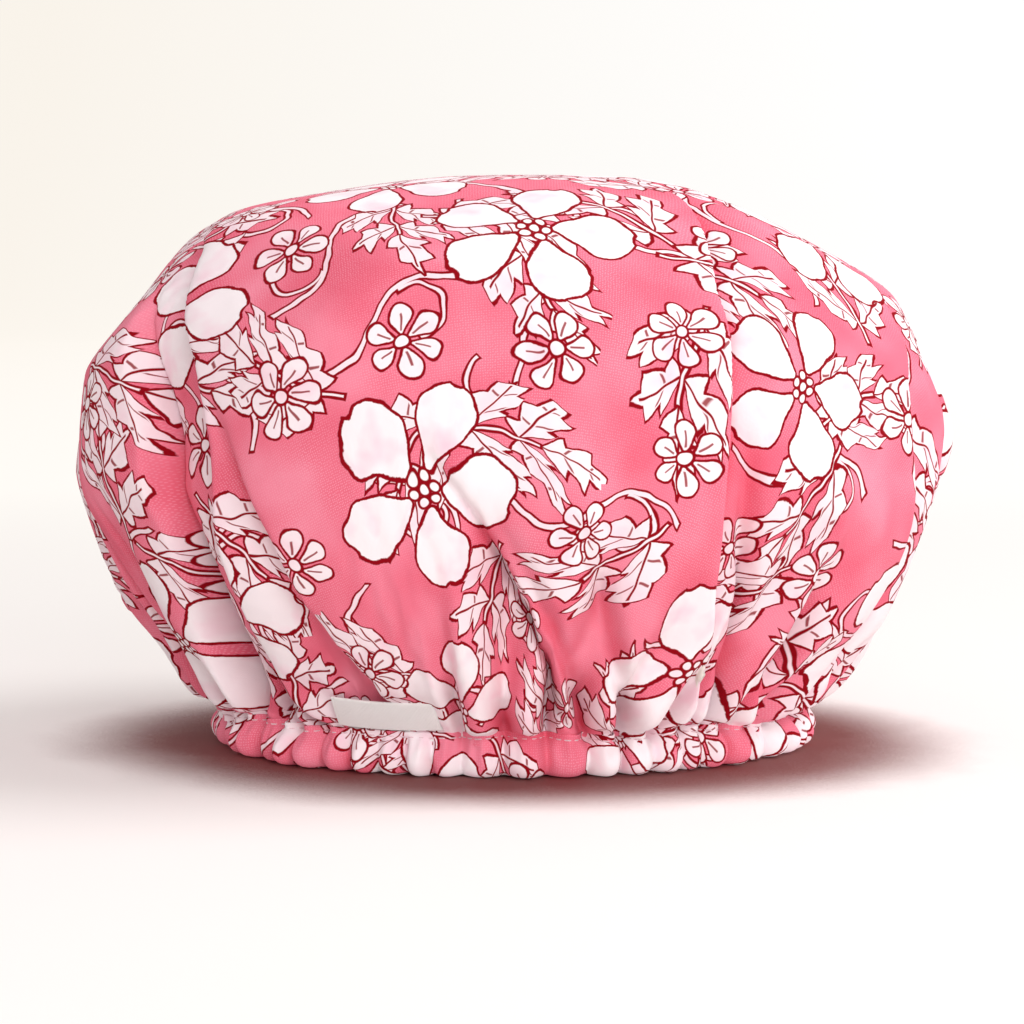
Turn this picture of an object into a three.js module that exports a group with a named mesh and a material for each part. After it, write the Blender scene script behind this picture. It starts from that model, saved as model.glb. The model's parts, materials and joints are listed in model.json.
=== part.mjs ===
import * as THREE from "three";

// A gathered shower cap standing on its hem, crown up. Millimetres, +Z up, front towards -Y.
// Printed cotton shell, waterproof lining, an elastic band inside a hem casing, two rows of
// sewing thread and a folded tape label that flips on its seam.

// Driving sizes of the finished cap
const capWidth = 270;
const capDepth = 240;
const capHeight = 174;
const bellyHeight = 88;
const mouthWidth = 170;
const mouthDepth = 148;

// Cloth and clearances
const shellWall = 1.1;
const liningWall = 0.8;
const casingWall = 0.8;
const layerGap = 0.3;

// Gathers: one pleat of cloth between two valleys, packed round the hem
const gatherCount = 34;
const gatherRise = 2.5;
const gatherVariationShare = 0.25;
const gatherPower = 1.5;

// Further up the gathers join in pairs into wide folds: their rise, the share of it at shares
// of the way down the skirt, and the waves that shift them along so that no two are alike
const wideFoldRise = 7;
const gathersPerWideFold = 2;
const wideFoldShares = [[0.2, 0], [0.5, 0.6], [0.76, 1], [1, 0]];
const wideFoldRoundness = 0.8;
const wideFoldMeanShare = 0.6;
const driftShare = 0.42;
const driftStart = 0.4;
const driftWaves = [[3, 1.1], [5, 4], [8, 2.6], [13, 5.2]];

// Extra width of the dome before the flats at its sides take it off again
const puffEase = 4;

// Sag of the loose cloth over the skirt, on the right only
const sag = 2;
const sagSidePower = 1.5;
const sagLowPower = 1.35;

// Flats where the crisp cloth lies straight: the way each faces, and its share of the cut
const flatCut = 9;
const flatSoftness = 2;
const flatSteepest = 30;
const flatEndShares = [0.5, 0.9];
const flats = [
  { degrees: 182, riseDegrees: 37, cutShare: 1 },
  { degrees: 185, riseDegrees: 5, cutShare: 0.45 },
  { degrees: 195, riseDegrees: 80, cutShare: 0.28 },
  { degrees: 2, riseDegrees: 68, cutShare: 0.55 },
  { degrees: 358, riseDegrees: 24, cutShare: 0.5 },
  { degrees: 235, riseDegrees: 42, cutShare: 0.55 },
  { degrees: 262, riseDegrees: 22, cutShare: 0.4 },
  { degrees: 250, riseDegrees: 68, cutShare: 0.35 },
  { degrees: 290, riseDegrees: 48, cutShare: 0.55 },
  { degrees: 3, riseDegrees: 4, cutShare: 0.2 },
  { degrees: 322, riseDegrees: 40, cutShare: 0.8 },
  { degrees: 318, riseDegrees: 8, cutShare: 0.55 },
  { degrees: 285, riseDegrees: 5, cutShare: 0.28 },
  { degrees: 225, riseDegrees: 5, cutShare: 0.65 },
  { degrees: 340, riseDegrees: 55, cutShare: 0.45 },
  { degrees: 25, riseDegrees: 30, cutShare: 0.65 },
  { degrees: 50, riseDegrees: 10, cutShare: 0.55 },
  { degrees: 60, riseDegrees: 50, cutShare: 0.65 },
  { degrees: 85, riseDegrees: 28, cutShare: 0.55 },
  { degrees: 110, riseDegrees: 8, cutShare: 0.45 },
  { degrees: 120, riseDegrees: 48, cutShare: 0.65 },
  { degrees: 145, riseDegrees: 25, cutShare: 0.8 },
  { degrees: 100, riseDegrees: 72, cutShare: 0.35 },
];

// Long folds drawn up from the hem. Each edge runs by degrees at shares of the way from the
// crown to the raw edge, with the side that is tucked under and its share of the depth.
const foldDepth = 10.5;
const foldSpread = 22;
const foldEdgeWidth = 4;
const foldStartShare = 0.14;
const foldEndShares = [0.65, 0.95];
const folds = [
  { degreesAtShares: [[0.3, 196], [0.4, 216], [0.54, 227], [0.8, 232]], tucked: -1, depthShare: 1 },
  { degreesAtShares: [[0.44, 203], [0.62, 212], [0.85, 211]], tucked: 1, depthShare: 0.6 },
  { degreesAtShares: [[0.56, 231], [0.66, 237], [0.8, 244]], tucked: -1, depthShare: 0.25 },
  { degreesAtShares: [[0.2, 312], [0.44, 298], [0.69, 295], [0.87, 299]], tucked: 1, depthShare: 0.5 },
  { degreesAtShares: [[0.37, 345], [0.58, 330], [0.74, 330], [0.89, 337]], tucked: 1, depthShare: 0.45 },
  { degreesAtShares: [[0.3, 66], [0.55, 60], [0.9, 64]], tucked: 1, depthShare: 0.4 },
  { degreesAtShares: [[0.42, 112], [0.7, 106], [0.9, 108]], tucked: 1, depthShare: 0.4 },
  { degreesAtShares: [[0.28, 146], [0.5, 138], [0.75, 136]], tucked: -1, depthShare: 0.35 },
];

// Hem casing: a folded strip of the shell's cotton, topstitched near its upper edge
const stitchHeight = 11.5;
const casingEdgeAbove = 1.6;
const hemTuck = 2.3;
const casingBulge = 3.2;
const casingBulgeInside = 1.4;
const bulgeHeight = 5.2;
const footFlatOutside = 1.5;
const footFlatInside = 3.5;

// Elastic band, its ends overlapped and sewn
const elasticWidth = 7;
const elasticThickness = 1;
const elasticAboveFloor = 1.3;
const overlapLength = 22;
const overlapRamp = 26;
const clearShare = 0.15;
const rampSteps = 6;
const joinDegrees = 90;

// Thread
const threadSize = 0.5;
const zigzagTurns = 7;
const zigzagMargin = 0.9;

// Folded tape label, caught by its ends where the shell leaves the casing
const labelWidth = 32;
const labelHeight = 10.5;
const labelPly = 0.35;
const labelPlyGap = 0.3;
const labelDegrees = 247;
const labelLeanDegrees = 46;
const labelPress = 2;
const labelPressFade = 8;

// Shape of the profile: squareness of the crown, and how fast the cap draws in to the hem
const crownSquareness = 2.8;
const drawInPower = 1.3;

const turn = 2 * Math.PI;
const halfWidth = (capWidth + puffEase) / 2;
const halfDepth = capDepth / 2;
const mouthHalfWidth = mouthWidth / 2;
const mouthHalfDepth = mouthDepth / 2;
const casingTop = stitchHeight + casingEdgeAbove;
const elasticTop = elasticAboveFloor + elasticWidth;
const fineSegments = 2 * gatherCount;
const tallestPleat = 1 + gatherVariationShare;

// The wide folds at an angle, as a share of their rise
function wideFoldAt(angle) {
  const drift = driftWaves.reduce((sum, [k, start]) => sum + Math.sin(k * (angle + driftStart) + start), 0);
  const lobes = gatherCount / gathersPerWideFold;
  const wave = Math.sin((lobes / 2) * angle + driftShare * drift);
  return Math.abs(wave) ** wideFoldRoundness - wideFoldMeanShare;
}

// How far the loose cloth sags out at an angle
function sagAt(angle) {
  return sag * Math.max(0, Math.cos(angle)) ** sagSidePower;
}

// The value at one place of a list of places and values that rises by place
function valueAt(list, place) {
  const after = list.findIndex(([at]) => at > place);
  if (after === 0) return list[0][1];
  if (after === -1) return list.at(-1)[1];
  const [[low, from], [high, to]] = [list[after - 1], list[after]];
  return THREE.MathUtils.mapLinear(place, low, high, from, to);
}

// How far the long folds tuck the cloth in, at an angle on a station
function tuckAt(station, angle) {
  const perDegree = THREE.MathUtils.degToRad((station.a + station.b) / 2);
  const faded = 1 - THREE.MathUtils.smoothstep(station.runShare, ...foldEndShares);
  let sum = 0;
  for (const { degreesAtShares, tucked, depthShare } of folds) {
    const off = angle - THREE.MathUtils.degToRad(valueAt(degreesAtShares, station.runShare));
    const away = THREE.MathUtils.radToDeg(Math.atan2(Math.sin(off), Math.cos(off))) * perDegree;
    const above = -tucked * away;
    const [startShare] = degreesAtShares[0];
    const begun = THREE.MathUtils.smoothstep(station.runShare, startShare, startShare + foldStartShare);
    const under = 1 / (1 + Math.exp(above / foldEdgeWidth));
    sum += foldDepth * depthShare * begun * faded * under * Math.exp(Math.min(above, 0) / foldSpread);
  }
  return sum;
}

// The pleat at one of the fine segments: crests on even ones, valleys on odd ones
function pleatAt(segment) {
  const uneven = 1 + gatherVariationShare * Math.sin(1.7 * segment) * Math.cos(0.6 * segment);
  return segment % 2 === 0 ? uneven : -uneven;
}

// Half width, half depth and height of the mean surface, at a rise angle above the belly
function crownStation(riseDegrees) {
  const rise = THREE.MathUtils.degToRad(riseDegrees);
  const out = Math.max(0, Math.cos(rise)) ** (2 / crownSquareness);
  const up = Math.sin(rise) ** (2 / crownSquareness);
  return {
    a: halfWidth * out,
    b: halfDepth * out,
    z: bellyHeight + (capHeight - bellyHeight) * up,
    sagShare: 0,
    flatShare: 1,
    wide: 0,
    pleat: 0,
  };
}

// The same below the belly, at a share of the way down to the casing's upper edge
function skirtStation(downShare) {
  const out = 1 - downShare ** drawInPower;
  return {
    a: THREE.MathUtils.lerp(mouthHalfWidth, halfWidth, out),
    b: THREE.MathUtils.lerp(mouthHalfDepth, halfDepth, out),
    z: THREE.MathUtils.lerp(bellyHeight, casingTop + layerGap, downShare),
    sagShare: Math.max(0, Math.sin(Math.PI * downShare ** sagLowPower)),
    flatShare: 1 - THREE.MathUtils.smoothstep(downShare, ...flatEndShares),
    wide: wideFoldRise * valueAt(wideFoldShares, downShare),
    pleat: gatherRise * Math.sin(Math.PI * 0.5 * downShare) ** gatherPower,
  };
}

// Each station's share of the way from the crown to the raw edge
function withRuns(stations) {
  let run = 0;
  const runs = stations.map((station, i) => {
    const above = stations[Math.max(0, i - 1)];
    const across = (station.a - above.a + station.b - above.b) / 2;
    run += Math.hypot(across, station.z - above.z);
    return run;
  });
  return stations.map((station, i) => ({ ...station, runShare: runs[i] / run }));
}

// Each station's outward direction across the profile, from its neighbours
function withNormals(stations) {
  return stations.map((station, i) => {
    const above = stations[Math.max(0, i - 1)];
    const below = stations[Math.min(stations.length - 1, i + 1)];
    const along = Math.hypot(below.a - above.a, below.z - above.z);
    return {
      ...station,
      outward: i === 0 ? 0 : (above.z - below.z) / along,
      upward: i === 0 ? 1 : (below.a - above.a) / along,
    };
  });
}

// A point of the puffed dome at an angle on a station, before flats, folds and pleats
function domePoint(station, angle, inset, outset = 0) {
  const swell = station.sagShare * sagAt(angle) + outset - inset * station.outward;
  const x = (station.a + swell) * Math.cos(angle);
  const y = (station.b + swell) * Math.sin(angle);
  return new THREE.Vector3(x, y, station.z - inset * station.upward);
}

// Pushes a point back behind the flats, each an inset deeper for the layers inside
function pushedFlat(point, station, inset, planes) {
  const moved = point.clone();
  for (const { way, reach } of planes) {
    const over = (moved.dot(way) - reach + inset) / flatSoftness;
    const push = flatSoftness * Math.log1p(Math.exp(Math.min(over, flatSteepest)));
    moved.addScaledVector(way, -push * station.flatShare);
  }
  return moved;
}

// A point on the elastic's oval, at a distance out from it
function ovalPoint(angle, out, z) {
  const x = (mouthHalfWidth + out) * Math.cos(angle);
  const y = (mouthHalfDepth + out) * Math.sin(angle);
  return new THREE.Vector3(x, y, z);
}

// The level direction in which the oval faces at an angle
function facingAt(angle) {
  return new THREE.Vector2(Math.cos(angle) / mouthHalfWidth, Math.sin(angle) / mouthHalfDepth).angle();
}

// The label's foot, where the tape leaves the seam clear of the casing, and its directions
const stackMiddle = (shellWall + liningWall + layerGap) / 2;
const labelAngle = THREE.MathUtils.degToRad(labelDegrees);
const labelLean = THREE.MathUtils.degToRad(labelLeanDegrees);
const labelHalfThickness = labelPly + labelPlyGap / 2;
const labelFootOut = stackMiddle + gatherRise * tallestPleat + layerGap + labelHalfThickness;
const labelFootHeight = casingTop + layerGap + labelHalfThickness;
const labelFoot = ovalPoint(labelAngle, labelFootOut, labelFootHeight);
const labelFacing = facingAt(labelAngle);
const labelAcross = new THREE.Vector3(-Math.sin(labelFacing), Math.cos(labelFacing), 0);
const labelBack = new THREE.Vector3(
  -Math.cos(labelFacing) * Math.cos(labelLean),
  -Math.sin(labelFacing) * Math.cos(labelLean),
  Math.sin(labelLean),
);
const labelUp = new THREE.Vector3().crossVectors(labelAcross, labelBack);

// Presses a point of the shell back behind the label, less so past its edges
function pressedByLabel(point, inset) {
  const fromFoot = point.clone().sub(labelFoot);
  const beside = Math.max(0, Math.abs(fromFoot.dot(labelAcross)) - labelWidth / 2);
  const above = Math.max(0, fromFoot.dot(labelUp) - labelHeight);
  const near = 1 - THREE.MathUtils.smoothstep(Math.hypot(beside, above), 0, labelPressFade);
  const over = labelHalfThickness + labelPress + inset - fromFoot.dot(labelBack);
  return point.addScaledVector(labelBack, near * Math.max(0, over));
}

// One ring of points on the cloth, moved in by an inset across the profile
function clothRing(station, segments, inset, outset = 0, planes = []) {
  const step = fineSegments / segments;
  return Array.from({ length: segments }, (_, i) => {
    const angle = (turn * i) / segments;
    const point = pushedFlat(domePoint(station, angle, inset, outset), station, inset - outset, planes);
    const folds = station.wide * wideFoldAt(angle) - tuckAt(station, angle);
    const swell = station.pleat * pleatAt(i * step) + folds;
    point.x += swell * Math.cos(angle);
    point.y += swell * Math.sin(angle);
    return point;
  });
}

// Triangles between two rings, facing out when the first ring lies above the second
function band(upper, lower) {
  const faces = [];
  const n = lower.length;
  const doubled = lower.length === 2 * upper.length;
  for (let i = 0; i < n; i += 1) {
    const next = (i + 1) % n;
    if (!doubled) {
      faces.push(lower[i], lower[next], upper[i], upper[i], lower[next], upper[next]);
      continue;
    }
    const over = upper[Math.floor(i / 2)];
    faces.push(lower[i], lower[next], over);
    if (i % 2 === 1) faces.push(over, lower[next], upper[((i + 1) / 2) % upper.length]);
  }
  return faces;
}

// Triangles from one ring to a point above it
function fan(point, ring) {
  return ring.flatMap((p, i) => [p, ring[(i + 1) % ring.length], point]);
}

function reversed(faces) {
  const out = [];
  for (let i = 0; i < faces.length; i += 3) out.push(faces[i + 2], faces[i + 1], faces[i]);
  return out;
}

function solid(faces) {
  const positions = new Float32Array(faces.flatMap((p) => [p.x, p.y, p.z]));
  const geometry = new THREE.BufferGeometry();
  geometry.setAttribute("position", new THREE.BufferAttribute(positions, 3));
  return geometry;
}

function cloth(name, geometry, color, roughness) {
  const material = new THREE.MeshStandardMaterial({ color, roughness, metalness: 0 });
  const mesh = new THREE.Mesh(geometry, material);
  mesh.name = name;
  return mesh;
}

// Rings of the domed cloth from the crown down to its raw edge inside the casing
const crownRises = [90, 76, 61, 46, 31, 16, 2];
const skirtShares = [0.3, 0.58, 0.78, 0.92, 1];
const skirt = skirtShares.map(skirtStation);
const seam = skirt[skirt.length - 1];
const rawEdge = { ...seam, z: stitchHeight - hemTuck };
const stations = withNormals(withRuns([...crownRises.map(crownStation), ...skirt, rawEdge]));

// The plane of each flat: the way it faces and how far out it lies along that way
const flatPlanes = flats.map(({ degrees, riseDegrees, cutShare }) => {
  const up = THREE.MathUtils.degToRad(riseDegrees);
  const round = THREE.MathUtils.degToRad(degrees);
  const level = Math.cos(up);
  const way = new THREE.Vector3(level * Math.cos(round), level * Math.sin(round), Math.sin(up));
  const farthest = Math.max(...stations.flatMap((station) =>
    Array.from({ length: fineSegments }, (_, i) =>
      domePoint(station, (turn * i) / fineSegments, 0).dot(way),
    ),
  ));
  return { way, reach: farthest - flatCut * cutShare };
});

// One side of a domed cloth: its crown point and its rings
function clothSide(inset) {
  const crown = pushedFlat(domePoint(stations[0], 0, inset), stations[0], inset, flatPlanes);
  const rings = stations.slice(1).map((station, i) => {
    const segments = i < crownRises.length - 1 ? gatherCount : fineSegments;
    const upright = station.z <= seam.z ? { ...station, outward: 1, upward: 0 } : station;
    const ring = clothRing(upright, segments, inset, stackMiddle, flatPlanes);
    return station.z > labelFootHeight ? ring.map((point) => pressedByLabel(point, inset)) : ring;
  });
  return { crown, rings };
}

function sideFaces({ crown, rings }) {
  const faces = fan(crown, rings[0]);
  for (let i = 1; i < rings.length; i += 1) faces.push(...band(rings[i - 1], rings[i]));
  return faces;
}

// A domed cloth between two insets, closed along its raw edge
function domedCloth(outerInset, innerInset) {
  const outer = clothSide(outerInset);
  const inner = clothSide(innerInset);
  const edge = band(outer.rings.at(-1), inner.rings.at(-1));
  return solid([...sideFaces(outer), ...reversed(sideFaces(inner)), ...edge]);
}

// What all rings of the hem share: no sag, flats or folds reach them
const hemBase = {
  a: mouthHalfWidth,
  b: mouthHalfDepth,
  sagShare: 0,
  flatShare: 0,
  wide: 0,
  runShare: 1,
  outward: 0,
  upward: 0,
};

// A ring of the hem, at a distance out from the elastic's oval, with its own pleat height
function hemRing(out, z, pleat) {
  const base = { ...hemBase, z, pleat };
  return clothRing(base, fineSegments, 0, out);
}

// A closed band through rings listed upwards outside and downwards inside
function closedSection(rings) {
  return solid(rings.flatMap((ring, i) => band(rings[(i + 1) % rings.length], ring)));
}

// Radial places in the hem, out from the elastic's middle line
const outerLegIn = stackMiddle + layerGap;
const outerLegOut = outerLegIn + casingWall;
const innerLegOut = stackMiddle - shellWall - liningWall - 2 * layerGap;
const innerLegIn = innerLegOut - casingWall;
const elasticOut = elasticThickness / 2;
const elasticIn = -elasticOut - elasticThickness - layerGap;
const zigzagSag = overlapLength ** 2 / (8 * mouthHalfDepth);
const zigzagOut = elasticIn - layerGap - zigzagSag;
const zigzagIn = zigzagOut - threadSize;
const bulgeIn = elasticOut + layerGap + casingBulge * tallestPleat;
const bulgeOut = bulgeIn + casingWall;
const shoulderIn = elasticOut + layerGap + gatherRise * tallestPleat;
const shoulderOut = shoulderIn + casingWall;
const insideOut = zigzagIn - layerGap - casingBulgeInside * tallestPleat;
const insideIn = insideOut - casingWall;
const shoulderHeight = elasticTop + layerGap;

function hemCasing() {
  return closedSection([
    hemRing(footFlatOutside, 0, 0),
    hemRing(bulgeOut, bulgeHeight, casingBulge),
    hemRing(shoulderOut, shoulderHeight, gatherRise),
    hemRing(outerLegOut, stitchHeight, gatherRise),
    hemRing(outerLegOut, casingTop, gatherRise),
    hemRing(outerLegIn, casingTop, gatherRise),
    hemRing(outerLegIn, stitchHeight, gatherRise),
    hemRing(shoulderIn, shoulderHeight, gatherRise),
    hemRing(bulgeIn, bulgeHeight, casingBulge),
    hemRing(footFlatOutside, casingWall, 0),
    hemRing(-footFlatInside, casingWall, 0),
    hemRing(insideOut, shoulderHeight, casingBulgeInside),
    hemRing(innerLegOut, stitchHeight, gatherRise),
    hemRing(innerLegOut, casingTop, gatherRise),
    hemRing(innerLegIn, casingTop, gatherRise),
    hemRing(innerLegIn, stitchHeight, gatherRise),
    hemRing(insideIn, shoulderHeight, casingBulgeInside),
    hemRing(-footFlatInside, 0, 0),
  ]);
}

// Sewing thread laid round the hem on its stitch line, on the outside or the inside
function threadRing(near) {
  const far = near + threadSize;
  const low = stitchHeight;
  const high = stitchHeight + threadSize;
  return closedSection([
    hemRing(far, low, gatherRise),
    hemRing(far, high, gatherRise),
    hemRing(near, high, gatherRise),
    hemRing(near, low, gatherRise),
  ]);
}

// The elastic runs once round and on behind its own start, where the ends are sewn
function elasticBand() {
  const start = THREE.MathUtils.degToRad(joinDegrees);
  const overlapAngle = overlapLength / mouthHalfWidth;
  const rampAngle = overlapRamp / mouthHalfWidth;
  const stops = [
    { from: 0, to: turn - rampAngle, steps: fineSegments },
    { from: turn - rampAngle, to: turn - rampAngle * clearShare, steps: rampSteps },
    { from: turn - rampAngle * clearShare, to: turn + overlapAngle, steps: rampSteps },
  ];
  const runs = stops.flatMap(({ from, to, steps }) =>
    Array.from({ length: steps }, (_, i) => THREE.MathUtils.lerp(from, to, i / steps)),
  );
  const sections = [...runs, turn + overlapAngle].map((run) => {
    const clear = THREE.MathUtils.smoothstep(run, turn - rampAngle, turn - rampAngle * clearShare);
    const middle = -(elasticThickness + layerGap) * clear;
    return [
      ovalPoint(start + run, middle + elasticOut, elasticAboveFloor),
      ovalPoint(start + run, middle + elasticOut, elasticTop),
      ovalPoint(start + run, middle - elasticOut, elasticTop),
      ovalPoint(start + run, middle - elasticOut, elasticAboveFloor),
    ];
  });
  const faces = [];
  for (let i = 0; i + 1 < sections.length; i += 1) {
    const [here, there] = [sections[i], sections[i + 1]];
    here.forEach((p, k) => {
      const q = (k + 1) % here.length;
      faces.push(p, there[k], here[q], here[q], there[k], there[q]);
    });
  }
  const end = ([p, q, r, s]) => [p, q, r, p, r, s];
  faces.push(...end(sections[0]), ...reversed(end(sections.at(-1))));
  return solid(faces);
}

// Turns a flat drawing, x along the hem and y up, to stand on the oval at an angle
function standOnOval(geometry, angle, lean, out, z) {
  const foot = ovalPoint(angle, out, z);
  geometry.rotateX(Math.PI / 2 - lean);
  geometry.rotateZ(facingAt(angle) - Math.PI / 2);
  geometry.translate(foot.x, foot.y, foot.z);
  return geometry;
}

// Zigzag bar of thread that joins the elastic's overlapped ends
function joinStitch() {
  const height = elasticWidth - 2 * zigzagMargin;
  const length = overlapLength - 4 * zigzagMargin;
  const pitch = length / zigzagTurns;
  const line = Array.from({ length: zigzagTurns + 1 }, (_, i) => [
    i * pitch - length / 2,
    i % 2 === 0 ? 0 : height,
  ]);
  const outline = [
    ...line.map(([x, y]) => new THREE.Vector2(x, y + threadSize)),
    ...line.reverse().map(([x, y]) => new THREE.Vector2(x, y - threadSize)),
  ];
  const drawing = new THREE.ExtrudeGeometry(new THREE.Shape(outline), {
    depth: threadSize,
    bevelEnabled: false,
  });
  const middle = THREE.MathUtils.degToRad(joinDegrees) + overlapLength / mouthHalfWidth / 2;
  return standOnOval(drawing, middle, 0, zigzagOut, elasticAboveFloor + zigzagMargin);
}

// Tape folded at its top edge: two plies with a slit between them, open at the seam
function labelTape() {
  const half = labelHalfThickness;
  const slit = labelPlyGap / 2;
  const fold = labelHeight - half;
  const section = new THREE.Shape();
  section.moveTo(-half, 0);
  section.lineTo(-slit, 0);
  section.lineTo(-slit, fold);
  section.absarc(0, fold, slit, Math.PI, 0, true);
  section.lineTo(slit, 0);
  section.lineTo(half, 0);
  section.lineTo(half, fold);
  section.absarc(0, fold, half, 0, Math.PI, false);
  section.lineTo(-half, 0);
  const tape = new THREE.ExtrudeGeometry(section, {
    depth: labelWidth,
    bevelEnabled: false,
    curveSegments: 6,
  });
  tape.translate(0, 0, -labelWidth / 2);
  tape.rotateY(Math.PI / 2);
  return tape;
}

const cap = new THREE.Group();
cap.name = "shower_cap";
const shellOut = 0;
const liningOut = shellWall + layerGap;

cap.add(cloth("outer_shell", domedCloth(shellOut, shellWall), 0xf07a94, 0.85));
cap.add(cloth("lining", domedCloth(liningOut, liningOut + liningWall), 0xf4f1ea, 0.35));
cap.add(cloth("hem_casing", hemCasing(), 0xf08aa0, 0.85));
cap.add(cloth("elastic_band", elasticBand(), 0xf2f0ec, 0.7));
cap.add(cloth("elastic_join_stitch", joinStitch(), 0xe9e4dc, 0.6));
cap.add(cloth("needle_thread", threadRing(outerLegOut + layerGap), 0xf6dfe4, 0.6));
cap.add(cloth("bobbin_thread", threadRing(innerLegIn - layerGap - threadSize), 0xf6dfe4, 0.6));
const label = standOnOval(labelTape(), labelAngle, labelLean, labelFootOut, labelFootHeight);
cap.add(cloth("label", label, 0xfafafa, 0.5));

export default cap;
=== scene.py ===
import functools
import json
import math

import bmesh
import bpy
import numpy as np
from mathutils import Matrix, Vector


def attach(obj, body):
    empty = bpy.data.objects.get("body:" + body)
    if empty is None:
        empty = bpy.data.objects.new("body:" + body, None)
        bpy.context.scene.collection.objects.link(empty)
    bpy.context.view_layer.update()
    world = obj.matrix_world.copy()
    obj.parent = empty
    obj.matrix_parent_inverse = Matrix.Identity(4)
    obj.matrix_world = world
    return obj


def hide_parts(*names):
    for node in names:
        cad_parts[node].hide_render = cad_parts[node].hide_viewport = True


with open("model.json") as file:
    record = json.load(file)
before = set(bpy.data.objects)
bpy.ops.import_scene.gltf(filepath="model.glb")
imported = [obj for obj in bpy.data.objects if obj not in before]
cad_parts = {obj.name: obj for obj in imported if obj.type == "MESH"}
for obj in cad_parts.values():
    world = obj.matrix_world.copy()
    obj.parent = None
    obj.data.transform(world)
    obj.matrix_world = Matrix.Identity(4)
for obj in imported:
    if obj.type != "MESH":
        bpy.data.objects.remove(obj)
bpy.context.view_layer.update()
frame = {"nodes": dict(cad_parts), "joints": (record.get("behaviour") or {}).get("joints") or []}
MM = 0.001


# table, light and camera
# The cap stands on a pale table that sweeps up behind it. Soft daylight comes from
# the upper right and the front, as by a large window. Under the cap a contact
# shadow is painted into the table's colour.

def colour(red, green, blue):
    """Turns a colour written 0 to 255 into the linear values that a shader takes."""
    parts = [c / 255 for c in (red, green, blue)]
    return [c / 12.92 if c < 0.04045 else ((c + 0.055) / 1.055) ** 2.4 for c in parts] + [1]


def clear_selection():
    bpy.ops.object.select_all(action="DESELECT")


def new_material(name):
    material = bpy.data.materials.new(name)
    material.use_nodes = True
    material.node_tree.nodes.clear()
    return material, material.node_tree


def add_node(tree, kind, **settings):
    node = tree.nodes.new("ShaderNode" + kind)
    for name, value in settings.items():
        setattr(node, name, value)
    return node


def mixed(tree, mask, lower, upper):
    """Blends two colours: a mask of 0 gives the lower one, 1 the upper one."""
    node = add_node(tree, "MixRGB")
    for slot, value in (("Fac", mask), ("Color1", lower), ("Color2", upper)):
        if isinstance(value, bpy.types.NodeSocket):
            tree.links.new(value, node.inputs[slot])
        else:
            node.inputs[slot].default_value = value
    return node.outputs["Color"]


def map_range(tree, value, low, high, least=0):
    """Turns the stretch from low to high into least to 1."""
    node = add_node(tree, "MapRange")
    for slot, limit in (("From Min", low), ("From Max", high), ("To Min", least)):
        node.inputs[slot].default_value = limit
    tree.links.new(value, node.inputs["Value"])
    return node.outputs[0]


def multiplied(tree, first, second):
    node = add_node(tree, "Math", operation="MULTIPLY")
    tree.links.new(first, node.inputs[0])
    tree.links.new(second, node.inputs[1])
    return node.outputs[0]


def colour_ramp(tree, value, *stops):
    """Colours at places along a value's range, given as pairs of place and colour."""
    node = add_node(tree, "ValToRGB")
    marks = node.color_ramp.elements
    for mark, (place, tint) in zip(marks, (stops[0], stops[-1])):
        mark.position, mark.color = place, tint
    for place, tint in stops[1:-1]:
        marks.new(place).color = tint
    tree.links.new(value, node.inputs[0])
    return node.outputs["Color"]


def add_surface(tree, base, roughness, height=None, bump_mm=0.5, strength=1.0):
    """Ends a material in one Principled surface, with a bump where a height is given."""
    surface = add_node(tree, "BsdfPrincipled")
    surface.inputs["Roughness"].default_value = roughness
    tree.links.new(base, surface.inputs["Base Color"])
    if height is not None:
        bump = add_node(tree, "Bump")
        bump.inputs["Distance"].default_value = bump_mm * MM
        bump.inputs["Strength"].default_value = strength
        tree.links.new(height, bump.inputs["Height"])
        tree.links.new(bump.outputs["Normal"], surface.inputs["Normal"])
    out = add_node(tree, "OutputMaterial")
    tree.links.new(surface.outputs[0], out.inputs["Surface"])
    return surface


clear_selection()
bpy.ops.mesh.primitive_plane_add(size=8, location=(0, 2.6, 0))
table = bpy.context.object
table.name = "table"
bpy.ops.object.mode_set(mode="EDIT")
bm = bmesh.from_edit_mesh(table.data)
for part in list(bm.verts) + list(bm.edges) + list(bm.faces):
    part.select_set(False)
for edge in bm.edges:
    if min(v.co.y for v in edge.verts) > 3.9:
        edge.select_set(True)
bmesh.update_edit_mesh(table.data)
bpy.ops.mesh.extrude_region_move(TRANSFORM_OT_translate={"value": (0, 0, 5)})
bpy.ops.object.mode_set(mode="OBJECT")
bend = table.modifiers.new("sweep", "BEVEL")
bend.width, bend.segments, bend.angle_limit = 2.0, 24, math.radians(60)
bpy.ops.object.modifier_apply(modifier="sweep")
bpy.ops.object.transform_apply(location=True)
bpy.ops.object.shade_smooth()
table_finish, tree = new_material("pale_table")
camera_ray = add_node(tree, "LightPath").outputs["Is Camera Ray"]
# Where ambient occlusion finds the cap close by, the table as the camera sees it turns brown-pink and its
# glow is held back: a painted contact shadow under the hem.
near = add_node(tree, "AmbientOcclusion", samples=8)
near.inputs["Distance"].default_value = 0.06
clear_of_painted_shadow = map_range(tree, near.outputs["AO"], 0.54, 0.86)
shade = mixed(tree, clear_of_painted_shadow, colour(122, 72, 70), colour(250, 245, 244))
tone = mixed(tree, camera_ray, colour(226, 222, 219), shade)
place = add_node(tree, "SeparateXYZ")
tree.links.new(add_node(tree, "TexCoord").outputs["Object"], place.inputs[0])
farther = map_range(tree, place.outputs["Y"], 0.1, 1.1, 0.2)
glow = multiplied(tree, camera_ray, multiplied(tree, farther, clear_of_painted_shadow))
rightward = map_range(tree, place.outputs["X"], -1, 0.9)
wall = mixed(tree, rightward, colour(248, 242, 233), colour(255, 255, 255))
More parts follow.
